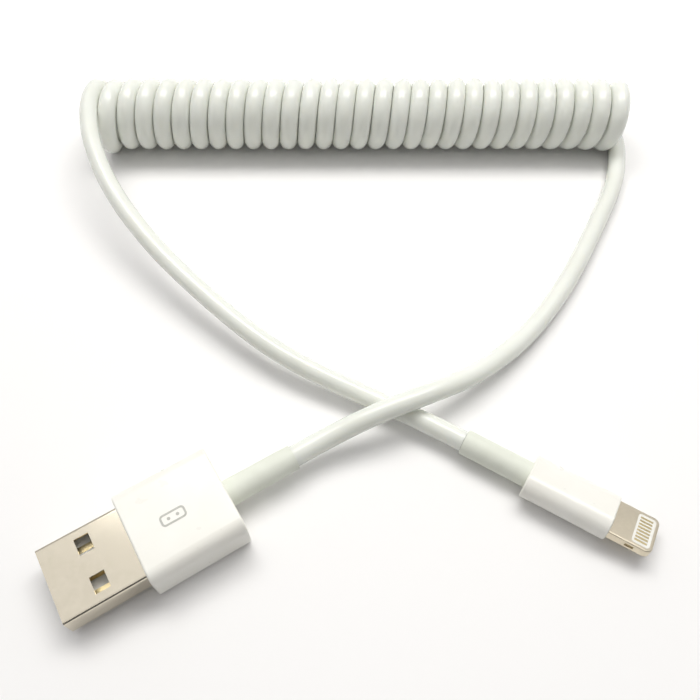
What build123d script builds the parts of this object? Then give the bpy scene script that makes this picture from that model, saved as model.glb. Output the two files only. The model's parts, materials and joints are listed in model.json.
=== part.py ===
from build123d import *
import os
from math import cos, pi, radians, sin, tan

# Charging cable: a wide four-contact plug and a small flat plug, joined by a
# tightly coiled cord with a straight lead at each end. Millimetres, +Z up,
# lying on the surface z = 0 with the coil's axis along X.
# Along a plug, 0 is the front of its moulded grip and plus is towards its mouth.

# Cord
cord_diameter = 3.4
coil_diameter = 13.9
coil_left = -54.7
coil_length = 112.0
coil_row = 86.1
coil_trim = 4.0
usb_lead_inset = 1.5
device_lead_inset = 1.5
lead_in = 6.3
bend_share = 0.45
wire_lift = 0.06
core_root_share = 0.25
core_tip_share = 0.2

# Wide plug, lying flat on its grip
usb_place = (-32.3, -3.65)
usb_yaw = 211.7
usb_grip_width = 15.2
usb_grip_height = 7.8
usb_grip_length = 15.0
usb_grip_corner = 1.9
usb_edge_round = 0.3
usb_shell_width = 12.0
usb_shell_height = 4.5
usb_shell_corner = 0.5
usb_sheet = 0.3
usb_shell_out = 12.3
usb_shell_seat = 5.0
usb_window_length = 2.2
usb_window_width = 2.7
usb_window_along = 5.95
usb_window_across = 3.1
usb_relief_length = 11.5
usb_relief_root = cord_diameter + 0.85
usb_relief_tip = cord_diameter + 0.65
usb_flange = cord_diameter + 2.0
mark_along = -6.7
mark_across = 0.5
mark_length = 3.9
mark_width = 1.9
mark_line = 0.3
mark_corner = 0.6
mark_dot = 0.5
mark_dot_spacing = 1.4
mark_thick = 0.03

usb_front_wall = 1.2
usb_side_wall = 1.1
usb_mould_corner = 1.2
usb_flange_front = -12.0
usb_flange_rear = -13.5

usb_insulator_gap = 0.3
usb_insulator_width = usb_shell_width - 2 * usb_sheet - 2 * usb_insulator_gap
usb_insulator_height = usb_shell_height / 2 - usb_sheet
usb_insulator_front = 12.1
usb_insulator_rear = -5.6
usb_block_front = -2.5
usb_block_gap = 0.1
usb_block_height = 2 * (usb_insulator_height - usb_block_gap)
usb_contact_width = 1.0
usb_contact_thick = 0.3
usb_contact_proud = 0.05
usb_contact_rear = -7.4
usb_outer_contact = 3.5
usb_inner_contact = 1.0
usb_outer_front = 11.1
usb_inner_front = 10.1

usb_shield_width = 11.8
usb_shield_gap = 0.35
usb_shield_height = usb_grip_height - 2 * (usb_side_wall + usb_shield_gap)
usb_shield_corner = 0.8
usb_shield_sheet = 0.2
usb_shield_front = -5.9
usb_shield_rear = -9.7
usb_ring_diameter = cord_diameter + 1.0
usb_ring_front = -10.0
usb_ring_rear = -11.7
usb_jacket_front = -9.8
usb_wire_diameter = 0.7
usb_wire_front = -6.7
usb_wire_spacing = 0.5
usb_solder_front = -6.4
usb_solder_rear = -7.6
usb_solder_width = 1.3
usb_solder_height = 1.1
usb_solder_corner = 0.3

# Small plug, rolled a little so that one side of its grip is lower
device_place = (38.7, 0.86)
device_yaw = -30.64
device_roll = -15.0
device_grip_width = 7.8
device_grip_height = 4.7
device_grip_length = 13.6
device_edge_round = 0.25
device_relief_length = 11.1
device_relief_diameter = cord_diameter + 0.75
device_flange_width = 6.4
device_flange_front = -11.5
device_flange_rear = -12.6

device_front_wall = 0.9
device_side_wall = 0.5
tongue_width = 6.7
tongue_thick = 1.5
tongue_out = 6.5
tongue_seat = 3.0
tongue_corner = 1.0
tongue_edge_round = 0.2
notch_along = 3.4
notch_length = 1.3
notch_height = 0.55
notch_depth = 0.35
insert_rear = 3.3
insert_front = 6.0
insert_width = 5.6
insert_corner = 0.5
device_contact_count = 8
device_contact_pitch = 0.62
device_contact_width = 0.36
device_contact_thick = 0.15
device_contact_proud = 0.02
device_contact_rear = 3.65
device_contact_front = 5.55

board_width = 5.0
board_thick = 0.6
board_front = 6.0
board_rear = -8.5
chip_rear = -6.4
chip_front = -4.0
chip_width = 2.4
chip_height = 0.7
capacitor_along = -7.1
capacitor_length = 0.5
capacitor_width = 0.9
capacitor_height = 0.45
capacitor_across = 1.5
device_shield_width = 6.2
device_shield_height = 3.2
device_shield_sheet = 0.2
device_shield_front = -3.2
device_shield_rear = -9.6
device_ring_width = 5.6
device_ring_height = cord_diameter + 0.25
device_ring_front = -10.2
device_ring_rear = -11.2
device_jacket_front = -9.9
device_wire_diameter = 0.6
device_wire_front = -7.9
device_wire_spacing = 0.45
device_solder_front = -7.7
device_solder_rear = -8.45
device_solder_width = 0.85
device_solder_height = 0.75
device_solder_pitch = 1.1


# A plane across a plug, its own X to the plug's left, its Y up and its Z to the mouth
def plug_plane(place, height, yaw, roll):
    forward = (cos(radians(yaw)), sin(radians(yaw)), 0)
    level = cos(radians(roll))
    left = (-forward[1] * level, forward[0] * level, sin(radians(roll)))
    return Plane(origin=(place[0], place[1], height), x_dir=left, z_dir=forward)


def bar(plane, start, end, width, height, corner=0, across=0, up=0, mode=Mode.ADD):
    with BuildSketch(plane.offset(start)) as profile:
        with Locations((across, up)):
            if corner > 0:
                RectangleRounded(width, height, corner)
            else:
                Rectangle(width, height)
    extrude(profile.sketch, amount=end - start, mode=mode)


def oval(plane, start, end, width, height, mode=Mode.ADD):
    with BuildSketch(plane.offset(start)) as profile:
        SlotOverall(width, height)
    extrude(profile.sketch, amount=end - start, mode=mode)


def rod(plane, start, end, diameter, mode=Mode.ADD):
    with BuildSketch(plane.offset(start)) as profile:
        Circle(diameter / 2)
    extrude(profile.sketch, amount=end - start, mode=mode)


def taper(plane, start, end, start_diameter, end_diameter):
    with BuildSketch(plane.offset(start)) as root:
        Circle(start_diameter / 2)
    with BuildSketch(plane.offset(end)) as tip:
        Circle(end_diameter / 2)
    loft(sections=[root.sketch, tip.sketch])


# The largest bend that the two runs at each corner allow
def bend_radii(points):
    radii = []
    for before, corner, after in zip(points, points[1:], points[2:]):
        run_in = Vector(*corner) - Vector(*before)
        run_out = Vector(*after) - Vector(*corner)
        half_turn = radians(run_in.get_angle(run_out)) / 2
        radii.append(bend_share * min(run_in.length, run_out.length) / tan(half_turn))
    return radii


def tube(points, diameter):
    with BuildLine() as path:
        FilletPolyline(*points, radius=bend_radii(points))
    route = path.wires()[0]
    with BuildSketch(Plane(origin=route @ 0, z_dir=route % 0)) as section:
        Circle(diameter / 2)
    sweep(section.sketch, path=route)
    return route.length


# A core from its solder joint to its place in the jacket's end
def core(plane, start, end, from_place, to_place, diameter):
    reach = start - end
    stations = [start, start - core_root_share * reach, end + core_tip_share * reach, end]
    places = [from_place, from_place, to_place, to_place]
    points = []
    for along, (across, up) in zip(stations, places):
        points.append(tuple(plane.from_local_coords(Vector(across, up, along))))
    tube(points, diameter)


usb = plug_plane(usb_place, usb_grip_height / 2, usb_yaw, 0)
usb_axis = Axis(usb.origin, usb.z_dir)
usb_relief_end = -usb_grip_length - usb_relief_length

device_lean = (device_grip_width - device_grip_height) / 2 * sin(radians(abs(device_roll)))
device = plug_plane(device_place, device_grip_height / 2 + device_lean, device_yaw, device_roll)
device_axis = Axis(device.origin, device.z_dir)
device_relief_end = -device_grip_length - device_relief_length

# ---- Wide plug ----

with BuildPart() as usb_shell:
    bar(usb, -usb_shell_seat, usb_shell_out, usb_shell_width, usb_shell_height, usb_shell_corner)
    bar(usb, -usb_shell_seat, usb_shell_out, usb_shell_width - 2 * usb_sheet,
        usb_shell_height - 2 * usb_sheet, usb_shell_corner - usb_sheet, mode=Mode.SUBTRACT)
    for side in (-1, 1):
        bar(usb, usb_window_along - usb_window_length / 2, usb_window_along + usb_window_length / 2,
            usb_window_width, usb_shell_height, across=side * usb_window_across, mode=Mode.SUBTRACT)

contact_middle = usb_contact_proud - usb_contact_thick / 2

with BuildPart() as usb_contact_vbus:
    bar(usb, usb_contact_rear, usb_outer_front, usb_contact_width, usb_contact_thick,
        across=usb_outer_contact, up=contact_middle)

with BuildPart() as usb_contact_data_minus:
    bar(usb, usb_contact_rear, usb_inner_front, usb_contact_width, usb_contact_thick,
        across=usb_inner_contact, up=contact_middle)

with BuildPart() as usb_contact_data_plus:
    bar(usb, usb_contact_rear, usb_inner_front, usb_contact_width, usb_contact_thick,
        across=-usb_inner_contact, up=contact_middle)

with BuildPart() as usb_contact_ground:
    bar(usb, usb_contact_rear, usb_outer_front, usb_contact_width, usb_contact_thick,
        across=-usb_outer_contact, up=contact_middle)

usb_contacts = [usb_contact_vbus, usb_contact_data_minus, usb_contact_data_plus, usb_contact_ground]

with BuildPart() as usb_insulator:
    bar(usb, usb_insulator_rear, usb_insulator_front, usb_insulator_width, usb_insulator_height,
        up=-usb_insulator_height / 2)
    bar(usb, usb_insulator_rear, usb_block_front, usb_insulator_width, usb_block_height)
    for contact in usb_contacts:
        add(contact.part, mode=Mode.SUBTRACT)

usb_wire_height = usb_contact_proud + usb_wire_diameter / 2 + wire_lift
usb_contact_across = [usb_outer_contact, usb_inner_contact, -usb_inner_contact, -usb_outer_contact]

with BuildPart() as usb_wire_red:
    core(usb, usb_wire_front, usb_jacket_front, (usb_outer_contact, usb_wire_height),
         (usb_wire_spacing, usb_wire_spacing), usb_wire_diameter)

with BuildPart() as usb_wire_white:
    core(usb, usb_wire_front, usb_jacket_front, (usb_inner_contact, usb_wire_height),
         (usb_wire_spacing, -usb_wire_spacing), usb_wire_diameter)

with BuildPart() as usb_wire_green:
    core(usb, usb_wire_front, usb_jacket_front, (-usb_inner_contact, usb_wire_height),
         (-usb_wire_spacing, -usb_wire_spacing), usb_wire_diameter)

with BuildPart() as usb_wire_black:
    core(usb, usb_wire_front, usb_jacket_front, (-usb_outer_contact, usb_wire_height),
         (-usb_wire_spacing, usb_wire_spacing), usb_wire_diameter)

usb_wires = [usb_wire_red, usb_wire_white, usb_wire_green, usb_wire_black]

with BuildPart() as usb_solder_joints:
    for across in usb_contact_across:
        bar(usb, usb_solder_rear, usb_solder_front, usb_solder_width, usb_solder_height,
            usb_solder_corner, across=across,
            up=usb_contact_proud + usb_solder_height / 2 - usb_contact_thick)
    for piece in usb_contacts + usb_wires:
        add(piece.part, mode=Mode.SUBTRACT)

with BuildPart() as usb_rear_shield:
    bar(usb, usb_shield_rear, usb_shield_front, usb_shield_width, usb_shield_height,
        usb_shield_corner)
    bar(usb, usb_shield_rear, usb_shield_front, usb_shield_width - 2 * usb_shield_sheet,
        usb_shield_height - 2 * usb_shield_sheet, usb_shield_corner - usb_shield_sheet,
        mode=Mode.SUBTRACT)

with BuildPart() as usb_jacket_end:
    rod(usb, usb_relief_end, usb_jacket_front, cord_diameter)

with BuildPart() as usb_crimp_ring:
    rod(usb, usb_ring_rear, usb_ring_front, usb_ring_diameter)
    rod(usb, usb_ring_rear, usb_ring_front, cord_diameter, mode=Mode.SUBTRACT)

with BuildPart() as usb_strain_relief:
    taper(usb, usb_relief_end, -usb_grip_length, usb_relief_tip, usb_relief_root)
    rod(usb, -usb_grip_length, usb_flange_rear, usb_relief_root)
    rod(usb, usb_flange_rear, usb_flange_front, usb_flange)
    rod(usb, usb_relief_end, usb_flange_front, cord_diameter, mode=Mode.SUBTRACT)

with BuildPart() as usb_inner_mould:
    bar(usb, usb_flange_front, -usb_front_wall, usb_grip_width - 2 * usb_side_wall,
        usb_grip_height - 2 * usb_side_wall, usb_mould_corner)
    bar(usb, -usb_shell_seat, -usb_front_wall, usb_shell_width, usb_shell_height,
        usb_shell_corner, mode=Mode.SUBTRACT)
    hidden = [usb_insulator, usb_solder_joints, usb_rear_shield, usb_jacket_end, usb_crimp_ring]
    for piece in hidden + usb_contacts + usb_wires:
        add(piece.part, mode=Mode.SUBTRACT)

with BuildPart() as usb_overmould:
    bar(usb, -usb_grip_length, 0, usb_grip_width, usb_grip_height, usb_grip_corner)
    grip_ends = usb_overmould.edges().group_by(usb_axis)
    fillet(grip_ends[0] + grip_ends[-1], radius=usb_edge_round)
    bar(usb, usb_flange_front, -usb_front_wall, usb_grip_width - 2 * usb_side_wall,
        usb_grip_height - 2 * usb_side_wall, usb_mould_corner, mode=Mode.SUBTRACT)
    bar(usb, -usb_front_wall, 0, usb_shell_width, usb_shell_height, usb_shell_corner,
        mode=Mode.SUBTRACT)
    rod(usb, usb_flange_rear, usb_flange_front, usb_flange, mode=Mode.SUBTRACT)
    rod(usb, -usb_grip_length, usb_flange_rear, usb_relief_root, mode=Mode.SUBTRACT)

# The printed mark is a thin layer on the grip's upper face
mark_middle = usb.from_local_coords(Vector(mark_across, usb_grip_height / 2, mark_along))

with BuildPart() as usb_mark:
    with BuildSketch(Plane(origin=mark_middle, x_dir=usb.z_dir, z_dir=usb.y_dir)):
        RectangleRounded(mark_length, mark_width, mark_corner)
        RectangleRounded(mark_length - 2 * mark_line, mark_width - 2 * mark_line,
                         mark_corner - mark_line, mode=Mode.SUBTRACT)
        with GridLocations(mark_dot_spacing, 1, 2, 1):
            Circle(mark_dot / 2)
    extrude(amount=mark_thick)

# ---- Small plug ----

insert_height = (tongue_thick - board_thick) / 2
insert_middle = (tongue_thick + board_thick) / 4
insert_along = (insert_rear + insert_front) / 2

with BuildPart() as device_circuit_board:
    bar(device, board_rear, board_front, board_width, board_thick)


def contact_row(side):
    middle = side * (tongue_thick / 2 + device_contact_proud - device_contact_thick / 2)
    for number in range(device_contact_count):
        across = (number - (device_contact_count - 1) / 2) * device_contact_pitch
        bar(device, device_contact_rear, device_contact_front, device_contact_width,
            device_contact_thick, across=across, up=middle)


# The window's outline lies along the tongue, so its sketch is on the tongue's face
def insert_block(side, mode):
    level = side * board_thick / 2
    middle = device.from_local_coords(Vector(0, level, insert_along))
    with BuildSketch(Plane(origin=middle, x_dir=device.z_dir, z_dir=device.y_dir * side)) as window:
        RectangleRounded(insert_front - insert_rear, insert_width, insert_corner)
    extrude(window.sketch, amount=insert_height, mode=mode)


with BuildPart() as device_contacts_top:
    contact_row(1)

with BuildPart() as device_contacts_bottom:
    contact_row(-1)

with BuildPart() as device_contact_insert_top:
    insert_block(1, Mode.ADD)
    add(device_contacts_top.part, mode=Mode.SUBTRACT)

with BuildPart() as device_contact_insert_bottom:
    insert_block(-1, Mode.ADD)
    add(device_contacts_bottom.part, mode=Mode.SUBTRACT)

with BuildPart() as device_tongue_frame:
    bar(device, -tongue_seat, tongue_out, tongue_width, tongue_thick)
    upright = device_tongue_frame.edges().filter_by(Axis(device.origin, device.y_dir))
    fillet(upright.group_by(device_axis)[-1], radius=tongue_corner)
    tongue_sides = device_tongue_frame.faces().sort_by(Axis(device.origin, device.y_dir))
    fillet(tongue_sides[0].edges() + tongue_sides[-1].edges(), radius=tongue_edge_round)
    bar(device, -tongue_seat, board_front, board_width, board_thick, mode=Mode.SUBTRACT)
    insert_block(1, Mode.SUBTRACT)
    insert_block(-1, Mode.SUBTRACT)
    for side in (-1, 1):
        bar(device, notch_along - notch_length / 2, notch_along + notch_length / 2,
            2 * notch_depth, notch_height, across=side * tongue_width / 2, mode=Mode.SUBTRACT)

with BuildPart() as device_control_chip:
    bar(device, chip_rear, chip_front, chip_width, chip_height,
        up=(board_thick + chip_height) / 2)

with BuildPart() as device_capacitors:
    for across in (-capacitor_across, 0, capacitor_across):
        bar(device, capacitor_along - capacitor_length / 2, capacitor_along + capacitor_length / 2,
            capacitor_width, capacitor_height, across=across,
            up=-(board_thick + capacitor_height) / 2)


def shield_half(side):
    oval(device, device_shield_rear, device_shield_front, device_shield_width,
         device_shield_height)
    oval(device, device_shield_rear, device_shield_front,
         device_shield_width - 2 * device_shield_sheet,
         device_shield_height - 2 * device_shield_sheet, mode=Mode.SUBTRACT)
    bar(device, device_shield_rear, device_shield_front, device_shield_width,
        device_shield_height, up=-side * device_shield_height / 2, mode=Mode.SUBTRACT)


with BuildPart() as device_shield_top:
    shield_half(1)

with BuildPart() as device_shield_bottom:
    shield_half(-1)

device_wire_height = (board_thick + device_wire_diameter) / 2 + wire_lift
solder_across = [(number - 1.5) * device_solder_pitch for number in range(4)]

with BuildPart() as device_wire_black:
    core(device, device_wire_front, device_jacket_front, (solder_across[0], device_wire_height),
         (-device_wire_spacing, device_wire_spacing), device_wire_diameter)

with BuildPart() as device_wire_green:
    core(device, device_wire_front, device_jacket_front, (solder_across[1], device_wire_height),
         (-device_wire_spacing, -device_wire_spacing), device_wire_diameter)

with BuildPart() as device_wire_white:
    core(device, device_wire_front, device_jacket_front, (solder_across[2], device_wire_height),
         (device_wire_spacing, -device_wire_spacing), device_wire_diameter)

with BuildPart() as device_wire_red:
    core(device, device_wire_front, device_jacket_front, (solder_across[3], device_wire_height),
         (device_wire_spacing, device_wire_spacing), device_wire_diameter)

device_wires = [device_wire_black, device_wire_green, device_wire_white, device_wire_red]

with BuildPart() as device_solder_joints:
    for across in solder_across:
        bar(device, device_solder_rear, device_solder_front, device_solder_width,
            device_solder_height, across=across, up=(board_thick + device_solder_height) / 2)
    for wire in device_wires:
        add(wire.part, mode=Mode.SUBTRACT)

with BuildPart() as device_jacket_end:
    rod(device, device_relief_end, device_jacket_front, cord_diameter)

with BuildPart() as device_crimp_ring:
    oval(device, device_ring_rear, device_ring_front, device_ring_width, device_ring_height)
    rod(device, device_ring_rear, device_ring_front, cord_diameter, mode=Mode.SUBTRACT)

with BuildPart() as device_strain_relief:
    rod(device, device_relief_end, device_flange_rear, device_relief_diameter)
    oval(device, device_flange_rear, device_flange_front, device_flange_width,
         device_relief_diameter)
    rod(device, device_relief_end, device_flange_front, cord_diameter, mode=Mode.SUBTRACT)

cavity_width = device_grip_width - 2 * device_side_wall
cavity_height = device_grip_height - 2 * device_side_wall

with BuildPart() as device_inner_mould:
    oval(device, device_flange_front, -device_front_wall, cavity_width, cavity_height)
    hidden = [device_tongue_frame, device_circuit_board, device_control_chip, device_capacitors,
              device_shield_top, device_shield_bottom, device_solder_joints, device_jacket_end,
              device_crimp_ring]
    for piece in hidden + device_wires:
        add(piece.part, mode=Mode.SUBTRACT)

with BuildPart() as device_overmould:
    oval(device, -device_grip_length, 0, device_grip_width, device_grip_height)
    grip_ends = device_overmould.edges().group_by(device_axis)
    fillet(grip_ends[0] + grip_ends[-1], radius=device_edge_round)
    oval(device, device_flange_front, -device_front_wall, cavity_width, cavity_height,
         mode=Mode.SUBTRACT)
    add(device_tongue_frame.part, mode=Mode.SUBTRACT)
    add(device_circuit_board.part, mode=Mode.SUBTRACT)
    oval(device, device_flange_rear, device_flange_front, device_flange_width,
         device_relief_diameter, mode=Mode.SUBTRACT)
    rod(device, -device_grip_length, device_flange_rear, device_relief_diameter,
        mode=Mode.SUBTRACT)

# ---- Cord ----
# Each lead starts straight out of its strain relief. The wide plug's lead climbs over
# the other one and lies on the surface; the small plug's lead rises to the coil's top.

coil_height = coil_diameter / 2
wind_top = coil_diameter - cord_diameter / 2
floor_level = cord_diameter / 2

usb_route = [
    tuple(usb.from_local_coords(Vector(0, 0, usb_relief_end))),
    tuple(usb.from_local_coords(Vector(0, 0, usb_relief_end - lead_in))),
    (3.0, 16.6, 6.2),
    (11.0, 20.0, 6.2),
    (20.5, 25.3, 3.6),
    (30.5, 34.0, 2.0),
    (39.5, 46.0, floor_level),
    (47.0, 59.5, floor_level),
    (53.5, 72.0, floor_level),
    (coil_left + coil_length - usb_lead_inset, coil_row - coil_trim, floor_level),
]

device_route = [
    tuple(device.from_local_coords(Vector(0, 0, device_relief_end))),
    tuple(device.from_local_coords(Vector(0, 0, device_relief_end - lead_in))),
    (4.5, 20.6, 2.5),
    (-4.6, 24.5, 3.6),
    (-14.6, 30.1, 4.5),
    (-25.3, 39.1, 5.6),
    (-36.4, 49.7, 7.4),
    (-45.8, 61.7, 9.8),
    (-51.3, 73.4, 11.7),
    (coil_left + device_lead_inset, coil_row - coil_trim, wind_top),
]

with BuildPart() as coil:
    with BuildSketch(Plane(origin=(coil_left, coil_row, coil_height), z_dir=(1, 0, 0))):
        Circle(coil_diameter / 2)
    extrude(amount=coil_length)

with BuildPart() as usb_lead:
    usb_lead_length = tube(usb_route, cord_diameter)
    usb_lead_share = usb_lead.part.volume / (pi * cord_diameter ** 2 / 4 * usb_lead_length)
    add(coil.part, mode=Mode.SUBTRACT)

with BuildPart() as device_lead:
    device_lead_length = tube(device_route, cord_diameter)
    device_lead_share = device_lead.part.volume / (
        pi * cord_diameter ** 2 / 4 * device_lead_length)
    add(coil.part, mode=Mode.SUBTRACT)

print("wide plug lead: length", round(usb_lead_length, 1), "volume ratio", round(usb_lead_share, 4))
print("  bend radii", [round(radius, 1) for radius in bend_radii(usb_route)])
print("small plug lead: length", round(device_lead_length, 1), "volume ratio",
      round(device_lead_share, 4))
print("  bend radii", [round(radius, 1) for radius in bend_radii(device_route)])

pieces = {
    "usb_shell": usb_shell,
    "usb_insulator": usb_insulator,
    "usb_contact_vbus": usb_contact_vbus,
    "usb_contact_data_minus": usb_contact_data_minus,
    "usb_contact_data_plus": usb_contact_data_plus,
    "usb_contact_ground": usb_contact_ground,
    "usb_rear_shield": usb_rear_shield,
    "usb_crimp_ring": usb_crimp_ring,
    "usb_solder_joints": usb_solder_joints,
    "usb_wire_red": usb_wire_red,
    "usb_wire_white": usb_wire_white,
    "usb_wire_green": usb_wire_green,
    "usb_wire_black": usb_wire_black,
    "usb_inner_mould": usb_inner_mould,
    "usb_overmould": usb_overmould,
    "usb_mark": usb_mark,
    "usb_strain_relief": usb_strain_relief,
    "usb_jacket_end": usb_jacket_end,
    "device_tongue_frame": device_tongue_frame,
    "device_contact_insert_top": device_contact_insert_top,
    "device_contact_insert_bottom": device_contact_insert_bottom,
    "device_contacts_top": device_contacts_top,
    "device_contacts_bottom": device_contacts_bottom,
    "device_circuit_board": device_circuit_board,
    "device_control_chip": device_control_chip,
    "device_capacitors": device_capacitors,
    "device_shield_top": device_shield_top,
    "device_shield_bottom": device_shield_bottom,
    "device_solder_joints": device_solder_joints,
    "device_wire_red": device_wire_red,
    "device_wire_white": device_wire_white,
    "device_wire_green": device_wire_green,
    "device_wire_black": device_wire_black,
    "device_crimp_ring": device_crimp_ring,
    "device_inner_mould": device_inner_mould,
    "device_overmould": device_overmould,
    "device_strain_relief": device_strain_relief,
    "device_jacket_end": device_jacket_end,
    "usb_lead": usb_lead,
    "coil": coil,
    "device_lead": device_lead,
}

os.makedirs("parts", exist_ok=True)
for name, piece in pieces.items():
    piece.part.label = name
    export_step(piece.part, "parts/" + name + ".step")
    print(name, "solids", len(piece.part.solids()), "volume", round(piece.part.volume, 2))
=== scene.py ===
import bpy
import json
import math
import random
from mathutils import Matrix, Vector


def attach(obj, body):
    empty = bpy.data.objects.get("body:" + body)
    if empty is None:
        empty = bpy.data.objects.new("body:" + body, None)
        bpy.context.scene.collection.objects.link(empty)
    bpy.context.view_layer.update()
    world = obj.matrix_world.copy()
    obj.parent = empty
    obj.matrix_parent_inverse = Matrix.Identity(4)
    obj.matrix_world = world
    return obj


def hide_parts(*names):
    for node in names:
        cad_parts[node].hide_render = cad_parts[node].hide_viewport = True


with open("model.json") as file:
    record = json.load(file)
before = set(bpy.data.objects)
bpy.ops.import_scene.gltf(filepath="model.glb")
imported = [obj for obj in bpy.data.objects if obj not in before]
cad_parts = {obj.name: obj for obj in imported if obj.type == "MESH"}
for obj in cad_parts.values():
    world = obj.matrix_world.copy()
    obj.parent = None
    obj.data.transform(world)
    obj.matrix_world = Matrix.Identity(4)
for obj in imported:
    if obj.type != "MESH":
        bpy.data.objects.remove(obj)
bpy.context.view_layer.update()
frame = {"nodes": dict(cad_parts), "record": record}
mm = 0.001


def linearFromHex(text):
    parts = [int(text[i:i + 2], 16) / 255 for i in (1, 3, 5)]
    return [c / 12.92 if c <= 0.04045 else ((c + 0.055) / 1.055) ** 2.4 for c in parts] + [1.0]


def metres(points):
    return [Vector(p) * mm for p in points]


# camera, floor and light

view = {
    "place": (-0.87, -35.2, 108.35),  # mm
    "tilt": 32.0,                     # degrees from straight down
    "lens": 37.03,                    # mm
    "sensor": 36.0,
    "near": 0.005,
    "far": 20.0,
}

camData = bpy.data.cameras.new("viewCamera")
camData.lens = view["lens"]
camData.sensor_width = view["sensor"]
camData.clip_start = view["near"]
camData.clip_end = view["far"]
cam = bpy.data.objects.new("viewCamera", camData)
cam.location = Vector(view["place"]) * mm
cam.rotation_euler = (math.radians(view["tilt"]), 0.0, 0.0)
bpy.context.scene.collection.objects.link(cam)
bpy.context.scene.camera = cam
bpy.context.scene.view_settings.view_transform = "Standard"

studio = {
    "floorSize": 4.0,
    "floorColour": "#f5f4f3",
    "floorRoughness": 0.6,
    "skyColour": "#f4f4f7",
    "skyPower": 0.54,         # behind and above
    "frontPower": 0.14,       # the dim room in front
    "frontEdge": -0.75,       # where the room is dimmest, as a direction's y
    "backEdge": 0.15,
    "stripPlace": (0.05, -0.40, 0.72),
    "stripSize": 0.05,
    "stripLength": 0.6,
    "stripPower": 0.16,
    "windowPlace": (0.02, 0.225, 0.42),
    "windowAim": (0.0, 0.05, 0.0),
    "windowSize": 0.17,
    "windowLength": 0.50,
    "windowPower": 1.62,
    "windowColour": "#fffefb",
    "ceilingPlace": (-0.10, 0.15, 1.0),
    "ceilingSize": 1.3,
    "ceilingPower": 2.5,
    "ceilingColour": "#fcf9f4",
}


def addNode(nodes, kind, settings=None, inputs=None, links=None):
    node = nodes.new(kind)
    for key, value in (settings or {}).items():
        setattr(node, key, value)
    for key, value in (inputs or {}).items():
        node.inputs[key].default_value = value
    for key, socket in (links or {}).items():
        node.id_data.links.new(socket, node.inputs[key])
    return node


def newMaterial(name):
    material = bpy.data.materials.new(name)
    material.use_nodes = True
    nodes = material.node_tree.nodes
    nodes.clear()
    return material, nodes


def closeMaterial(material, nodes, shader):
    addNode(nodes, "ShaderNodeOutputMaterial", links={"Surface": shader.outputs[0]})
    return material


def addSoftbox(name, place, aim, size, length, power, colour):
    lamp = bpy.data.lights.new(name, "AREA")
    lamp.shape = "RECTANGLE"
    lamp.size = length
    lamp.size_y = size
    lamp.energy = power
    lamp.color = linearFromHex(colour)[:3]
    box = bpy.data.objects.new(name, lamp)
    box.location = place
    box.rotation_euler = (Vector(aim) - Vector(place)).to_track_quat("-Z", "Y").to_euler()
    bpy.context.scene.collection.objects.link(box)
    return box


def makeStudio(s):
    world = bpy.data.worlds.new("paleRoom")
    world.use_nodes = True
    nodes = world.node_tree.nodes
    background = nodes["Background"]
    background.inputs["Color"].default_value = linearFromHex(s["skyColour"])
    direction = addNode(nodes, "ShaderNodeTexCoord")
    parts = addNode(nodes, "ShaderNodeSeparateXYZ",
                    links={"Vector": direction.outputs["Generated"]})
    fade = addNode(nodes, "ShaderNodeMapRange", {"interpolation_type": "SMOOTHSTEP"},
                   {"From Min": s["frontEdge"], "From Max": s["backEdge"],
                    "To Min": s["frontPower"], "To Max": s["skyPower"]},
                   {"Value": parts.outputs["Y"]})
    world.node_tree.links.new(fade.outputs["Result"], background.inputs["Strength"])
    bpy.context.scene.world = world
    mesh = bpy.data.meshes.new("floor")
    half = s["floorSize"] / 2
    mesh.from_pydata([(-half, -half, 0), (half, -half, 0), (half, half, 0), (-half, half, 0)],
                     [], [(0, 1, 2, 3)])
    floor = bpy.data.objects.new("floor", mesh)
    bpy.context.scene.collection.objects.link(floor)
    material, nodes = newMaterial("paperSheet")
    shader = addNode(nodes, "ShaderNodeBsdfPrincipled",
                     inputs={"Base Color": linearFromHex(s["floorColour"]),
                             "Roughness": s["floorRoughness"]})
    mesh.materials.append(closeMaterial(material, nodes, shader))
    addSoftbox("windowLight", s["windowPlace"], s["windowAim"], s["windowSize"],
               s["windowLength"], s["windowPower"], s["windowColour"])
    addSoftbox("ceilingLight", s["ceilingPlace"], s["windowAim"], s["ceilingSize"],
               s["ceilingSize"], s["ceilingPower"], s["ceilingColour"])
    addSoftbox("frontStrip", s["stripPlace"], s["windowAim"], s["stripSize"],
               s["stripLength"], s["stripPower"], s["windowColour"])


makeStudio(studio)
print("studio ready")

# cord

cordSizes = {
    "diameter": 3.4,
    "coilRadius": 5.25,       # of the turns' centreline
    "coilRow": 86.1,
    "coilHeight": 7.06,
    "coilFullness": 1.075,    # thickens the wound cord all round, so that its turns touch
    "coilStart": -52.9,       # where the small plug's lead turns into the coil
    "coilEnd": 55.6,
    "turns": 29.5,
    "pointsPerTurn": 12,
    "looseness": 0.035,       # mm that a turn strays along the coil
    "roundness": 0.6,         # how much of that it strays in radius
    "evenPoints": 3,          # points at each end of the coil that keep the plain diameter
    "firstSag": (1.3, 0.72, 0.35),  # mm towards the plugs, at which turn, over how many turns
    "lastSag": (0.9, 3.2),    # mm that the coil's last turns lie nearer the plugs, over how many
    "seed": 7,
}

usbRoute = [
    (-9.75, 10.32, 3.9),
    (-4.39, 13.63, 3.9),
    (3.0, 16.6, 6.2),
    (11.0, 20.0, 6.2),
    (20.5, 25.3, 3.6),
    (30.5, 34.0, 2.0),
    (39.5, 46.0, 1.7),
    (47.0, 59.5, 1.7),
    (53.5, 72.0, 1.7),
    (55.8, 82.1, 1.7),
]

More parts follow.
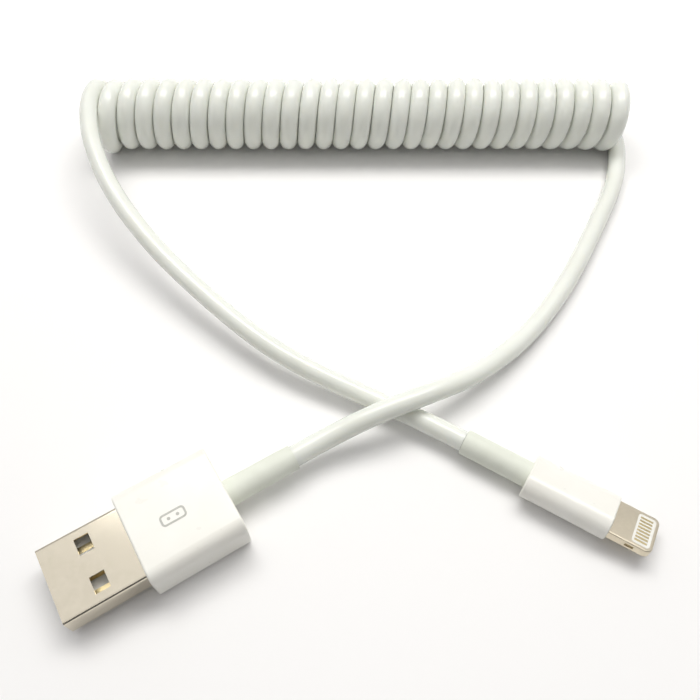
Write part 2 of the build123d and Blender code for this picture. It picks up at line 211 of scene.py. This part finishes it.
deviceRoute = [
    (17.45, 13.45, 2.75),
    (12.03, 16.66, 2.75),
    (4.5, 20.6, 2.5),
    (-4.6, 24.5, 3.6),
    (-14.6, 30.1, 4.5),
    (-25.3, 39.1, 5.6),
    (-36.4, 49.7, 7.4),
    (-45.8, 61.7, 9.8),
    (-51.3, 73.4, 11.7),
    (-53.2, 82.1, 12.2),
]


def coilPoints(s):
    rng = random.Random(s["seed"])
    count = int(s["turns"] * s["pointsPerTurn"])
    step = 2 * math.pi / s["pointsPerTurn"]
    reach = s["coilRadius"] / (0.75 + 0.25 * math.cos(step))  # the spline runs inside its points
    strays = int(s["turns"]) + 3
    strayX = [rng.uniform(-1, 1) * s["looseness"] for turn in range(strays)]
    strayR = [rng.uniform(-1, 1) * s["looseness"] * s["roundness"] for turn in range(strays)]
    firstSag, firstTurn, firstSpan = s["firstSag"]
    lastSag, lastSpan = s["lastSag"]
    points = []
    for i in range(count + 1):
        turn = i / s["pointsPerTurn"]
        whole = int(turn)
        part = turn - whole
        dx = strayX[whole] * (1 - part) + strayX[whole + 1] * part
        dr = strayR[whole] * (1 - part) + strayR[whole + 1] * part
        sag = (firstSag * math.exp(-((turn - firstTurn) / firstSpan) ** 2)
               + lastSag * max(0.0, 1 - (s["turns"] - turn) / lastSpan) ** 2)
        angle = i * step
        x = s["coilStart"] + (s["coilEnd"] - s["coilStart"]) * i / count + dx
        points.append((x, s["coilRow"] - sag + (reach + dr) * math.sin(angle),
                       s["coilHeight"] + (reach + dr) * math.cos(angle)))
    return points


def makeCord(s):
    wound = list(reversed(coilPoints(s)))
    route = usbRoute + wound + list(reversed(deviceRoute))
    curve = bpy.data.curves.new("cord", "CURVE")
    curve.dimensions = "3D"
    curve.bevel_depth = s["diameter"] / 2 * mm
    curve.bevel_resolution = 7
    curve.resolution_u = 6
    curve.use_fill_caps = True
    spline = curve.splines.new("NURBS")
    spline.points.add(len(route) - 1)
    first = len(usbRoute) + s["evenPoints"]
    last = len(usbRoute) + len(wound) - s["evenPoints"]
    for number, (point, place) in enumerate(zip(spline.points, metres(route))):
        point.co = (*place, 1.0)
        inCoil = first <= number < last
        point.radius = s["coilFullness"] if inCoil else 1.0
    spline.order_u = 3
    spline.use_endpoint_u = True
    cord = bpy.data.objects.new("cord", curve)
    bpy.context.scene.collection.objects.link(cord)
    return cord


def lineLength(curveObject):
    curve = curveObject.data.copy()
    curve.bevel_depth = 0
    bare = bpy.data.objects.new("bare", curve)
    mesh = bpy.data.meshes.new_from_object(bare)
    total = sum((mesh.vertices[a].co - mesh.vertices[b].co).length
                for a, b in (edge.vertices for edge in mesh.edges))
    bpy.data.meshes.remove(mesh)
    bpy.data.objects.remove(bare)
    return total


cord = makeCord(cordSizes)
cordLength = lineLength(cord)
print("cord length", round(cordLength, 4))

# Sizes inside a material are millimetres on the real piece.

surface = {
    "coatRoughness": 0.12,
    "glossPatch": 0.35,       # a plastic's gloss patches, as a share of its colour patches
    "glossRange": (0.2, 0.8),  # the part of the noise that the gloss follows
    "dentPatch": 1.5,         # a metal's shallow dents, as a share of its clouding
    "glowTint": (1.0, 0.96, 0.88),
}

yaws = {"usb": math.radians(211.7), "device": math.radians(-30.64), "none": 0.0}


# The mix node shares its sockets between kinds: 6 and 7 are its colours, 2 is its colour result.
def mixColour(nodes, factor, first, second):
    mix = addNode(nodes, "ShaderNodeMix", {"data_type": "RGBA"})
    nodes.id_data.links.new(factor, mix.inputs[0])
    mix.inputs[6].default_value = linearFromHex(first)
    mix.inputs[7].default_value = linearFromHex(second)
    return mix.outputs[2]


def noise(nodes, place, size, detail=2.0, rough=0.5):
    grain = addNode(nodes, "ShaderNodeTexNoise",
                    inputs={"Scale": 1000 / size, "Detail": detail, "Roughness": rough},
                    links={"Vector": place})
    return grain.outputs["Fac"]


def spread(nodes, value, low, high, start=0.3, end=0.7):
    ramp = addNode(nodes, "ShaderNodeMapRange",
                   inputs={"From Min": start, "From Max": end, "To Min": low, "To Max": high},
                   links={"Value": value})
    return ramp.outputs["Result"]


def raised(nodes, height, depth, under=None):
    bump = addNode(nodes, "ShaderNodeBump", inputs={"Strength": 1.0, "Distance": depth * mm},
                   links={"Height": height})
    if under:
        nodes.id_data.links.new(under, bump.inputs["Normal"])
    return bump.outputs["Normal"]


# Along the plug's axis the grain is long, across it the grain is fine.
def alongPlug(nodes, plug, length, width):
    place = addNode(nodes, "ShaderNodeTexCoord")
    turned = addNode(nodes, "ShaderNodeMapping", {"vector_type": "TEXTURE"},
                     {"Rotation": (0.0, 0.0, yaws[plug]), "Scale": (length, width, width)},
                     {"Vector": place.outputs["Object"]})
    return turned.outputs["Vector"]


def plastic(name, values):
    material, nodes = newMaterial(name)
    place = addNode(nodes, "ShaderNodeTexCoord").outputs["Object"]
    patches = noise(nodes, place, values["patch"], 3.0)
    colour = mixColour(nodes, spread(nodes, patches, 0.0, 1.0), values["colour"], values["shade"])
    low, high = values["roughness"]
    gloss = spread(nodes, noise(nodes, place, values["patch"] * surface["glossPatch"], 2.0), low,
                   high, *surface["glossRange"])
    ripple = raised(nodes, noise(nodes, place, values["ripple"], 1.0), values["rippleDepth"])
    grain = raised(nodes, noise(nodes, place, values["grain"], 3.0, 0.6), values["grainDepth"],
                   ripple)
    shader = addNode(nodes, "ShaderNodeBsdfPrincipled",
                     inputs={"Coat Weight": values.get("coat", 0.0),
                             "Coat Roughness": surface["coatRoughness"],
                             "Subsurface Weight": values.get("glow", 0.0),
                             "Subsurface Scale": values.get("glowReach", 1.0) * mm,
                             "Subsurface Radius": surface["glowTint"]},
                     links={"Base Color": colour, "Roughness": gloss, "Normal": grain})
    return closeMaterial(material, nodes, shader)


def platedMetal(name, values):
    material, nodes = newMaterial(name)
    place = addNode(nodes, "ShaderNodeTexCoord").outputs["Object"]
    drawn = alongPlug(nodes, values["plug"], values["lineLength"], values["lineWidth"])
    lines = addNode(nodes, "ShaderNodeTexNoise",
                    inputs={"Scale": 1000.0, "Detail": 2.0, "Roughness": 0.5},
                    links={"Vector": drawn}).outputs["Fac"]
    patches = noise(nodes, place, values["patch"], 4.0, 0.6)
    colour = mixColour(nodes, spread(nodes, patches, 0.0, 1.0), values["colour"], values["shade"])
    low, high = values["roughness"]
    smear = spread(nodes, patches, low, high)
    wiped = addNode(nodes, "ShaderNodeMath", {"operation": "MULTIPLY_ADD"},
                    {1: values["wipe"]}, {0: lines, 2: smear}).outputs["Value"]
    bent = raised(nodes, lines, values["lineDepth"],
                  raised(nodes, noise(nodes, place, values["patch"] * surface["dentPatch"], 1.0),
                         values["dent"]))
    shader = addNode(nodes, "ShaderNodeBsdfPrincipled", inputs={"Metallic": 1.0},
                     links={"Base Color": colour, "Roughness": wiped, "Normal": bent})
    return closeMaterial(material, nodes, shader)


plastics = {
    # glossy soft PVC: faint extrusion ripple, very slightly uneven gloss
    "cord_white": ("flexiblePvcJacket", {
        "colour": "#eceee7", "shade": "#e7e9e1", "patch": 12.0, "roughness": (0.19, 0.22),
        "ripple": 3.0, "rippleDepth": 0.005, "grain": 0.35, "grainDepth": 0.0008,
        "glow": 0.6, "glowReach": 1.1}),
    # moulded ABS: an even soft gloss, with a colour that is only just uneven
    "grip_white": ("polishedAbsGrip", {
        "colour": "#f2f1ea", "shade": "#eeece3", "patch": 8.0, "roughness": (0.27, 0.29),
        "ripple": 3.5, "rippleDepth": 0.0012, "grain": 0.5, "grainDepth": 0.0003,
        "coat": 0.1}),
    # spark-eroded TPE: an even fine grain that spreads the light
    "relief_white": ("satinTpeRelief", {
        "colour": "#e4e7db", "shade": "#dee1d4", "patch": 3.0, "roughness": (0.48, 0.62),
        "ripple": 1.5, "rippleDepth": 0.01, "grain": 0.16, "grainDepth": 0.012}),
    # pad-printed ink: thin and matt, paler where it printed unevenly
    "mark_grey": ("padPrintedInk", {
        "colour": "#b2b1a9", "shade": "#c0bfb8", "patch": 0.5, "roughness": (0.45, 0.6),
        "ripple": 0.6, "rippleDepth": 0.002, "grain": 0.08, "grainDepth": 0.002}),
    # glass-filled nylon: dry, slightly mottled
    "white_insulator": ("mouldedNylon", {
        "colour": "#ecebe4", "shade": "#e3e1d8", "patch": 1.2, "roughness": (0.42, 0.55),
        "ripple": 1.0, "rippleDepth": 0.004, "grain": 0.12, "grainDepth": 0.004}),
    # hard polyethylene shot round the joints: waxy and milky
    "inner_mould": ("milkyInnerMould", {
        "colour": "#dedcd2", "shade": "#d2cfc3", "patch": 2.5, "roughness": (0.4, 0.55),
        "ripple": 1.5, "rippleDepth": 0.01, "grain": 0.3, "grainDepth": 0.004}),
    # dyed core insulation: thin, glossy and slightly uneven
    "wire_red": ("redInsulation", {
        "colour": "#b01818", "shade": "#9c1414", "patch": 1.0, "roughness": (0.32, 0.42),
        "ripple": 0.4, "rippleDepth": 0.008, "grain": 0.1, "grainDepth": 0.002}),
    "wire_white": ("whiteInsulation", {
        "colour": "#e8e8e8", "shade": "#dedede", "patch": 1.0, "roughness": (0.32, 0.42),
        "ripple": 0.4, "rippleDepth": 0.008, "grain": 0.1, "grainDepth": 0.002}),
    "wire_green": ("greenInsulation", {
        "colour": "#1b7a34", "shade": "#176a2c", "patch": 1.0, "roughness": (0.32, 0.42),
        "ripple": 0.4, "rippleDepth": 0.008, "grain": 0.1, "grainDepth": 0.002}),
    "wire_black": ("blackInsulation", {
        "colour": "#181818", "shade": "#222222", "patch": 1.0, "roughness": (0.32, 0.42),
        "ripple": 0.4, "rippleDepth": 0.008, "grain": 0.1, "grainDepth": 0.002}),
    # solder mask: glossy and a little rippled
    "board_green": ("solderMask", {
        "colour": "#1a4a2b", "shade": "#153f24", "patch": 0.8, "roughness": (0.28, 0.4),
        "ripple": 0.25, "rippleDepth": 0.004, "grain": 0.08, "grainDepth": 0.002}),
    # epoxy package: dull and sandy
    "chip_black": ("mouldedPackage", {
        "colour": "#1a1a1c", "shade": "#232326", "patch": 0.6, "roughness": (0.45, 0.6),
        "ripple": 0.3, "rippleDepth": 0.002, "grain": 0.05, "grainDepth": 0.003}),
    # barium titanate: speckled biscuit brown
    "capacitor_tan": ("firedCeramic", {
        "colour": "#8f7352", "shade": "#a5896a", "patch": 0.15, "roughness": (0.4, 0.55),
        "ripple": 0.2, "rippleDepth": 0.002, "grain": 0.05, "grainDepth": 0.002}),
}

metals = {
    # drawn and nickel-plated strip: soft lines along the plug, warm tint, slight clouding
    "shell_nickel": ("nickelPlatedShell", {
        "colour": "#e2dac8", "shade": "#d8d0be", "patch": 3.0, "roughness": (0.07, 0.11),
        "plug": "usb", "lineLength": 9.0, "lineWidth": 0.14, "lineDepth": 0.0008,
        "wipe": 0.05, "dent": 0.003}),
    # satin plated steel: soft, with faint short lines along the plug
    "tongue_steel": ("satinNickelTongue", {
        "colour": "#e2d8c2", "shade": "#d6ccb6", "patch": 1.6, "roughness": (0.26, 0.34),
        "plug": "device", "lineLength": 2.0, "lineWidth": 0.1, "lineDepth": 0.0015,
        "wipe": 0.05, "dent": 0.003}),
    # thin gold flash: faint wiped lines along the small plug, on both plugs' contacts
    "contact_gold": ("goldPlatedContact", {
        "colour": "#dfcfa6", "shade": "#d3c294", "patch": 0.8, "roughness": (0.22, 0.32),
        "plug": "device", "lineLength": 1.5, "lineWidth": 0.06, "lineDepth": 0.0012,
        "wipe": 0.08, "dent": 0.002}),
    # hot-tinned steel: dull, with soft streaks
    "shield_steel": ("tinnedSteel", {
        "colour": "#b0b0ac", "shade": "#a2a29e", "patch": 2.0, "roughness": (0.34, 0.46),
        "plug": "usb", "lineLength": 3.0, "lineWidth": 0.2, "lineDepth": 0.002,
        "wipe": 0.06, "dent": 0.006}),
    # pressed steel: dull and lightly dented
    "crimp_metal": ("crimpedSteel", {
        "colour": "#b0aea8", "shade": "#9f9d97", "patch": 1.2, "roughness": (0.34, 0.46),
        "plug": "usb", "lineLength": 0.3, "lineWidth": 0.3, "lineDepth": 0.004,
        "wipe": 0.06, "dent": 0.01}),
    # cooled tin solder: bright with a frosty skin
    "solder": ("tinSolder", {
        "colour": "#c6c6c4", "shade": "#b2b2b0", "patch": 0.5, "roughness": (0.18, 0.34),
        "plug": "none", "lineLength": 0.2, "lineWidth": 0.2, "lineDepth": 0.003,
        "wipe": 0.05, "dent": 0.01}),
}

materials = {slot: plastic(name, values) for slot, (name, values) in plastics.items()}
materials.update({slot: platedMetal(name, values) for slot, (name, values) in metals.items()})
print("materials ready")

slotOf = {row["node"]: row["material_slot"] for row in frame["record"]["subparts"]}

for node, slotName in slotOf.items():
    body = frame["nodes"][node]
    for holder in body.material_slots:
        holder.material = materials[slotName]
    if not body.material_slots:
        body.data.materials.append(materials[slotName])

print("bodies dressed", len(slotOf))

cord.data.materials.append(materials["cord_white"])
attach(cord, "root")
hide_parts("usb_lead", "coil", "device_lead")
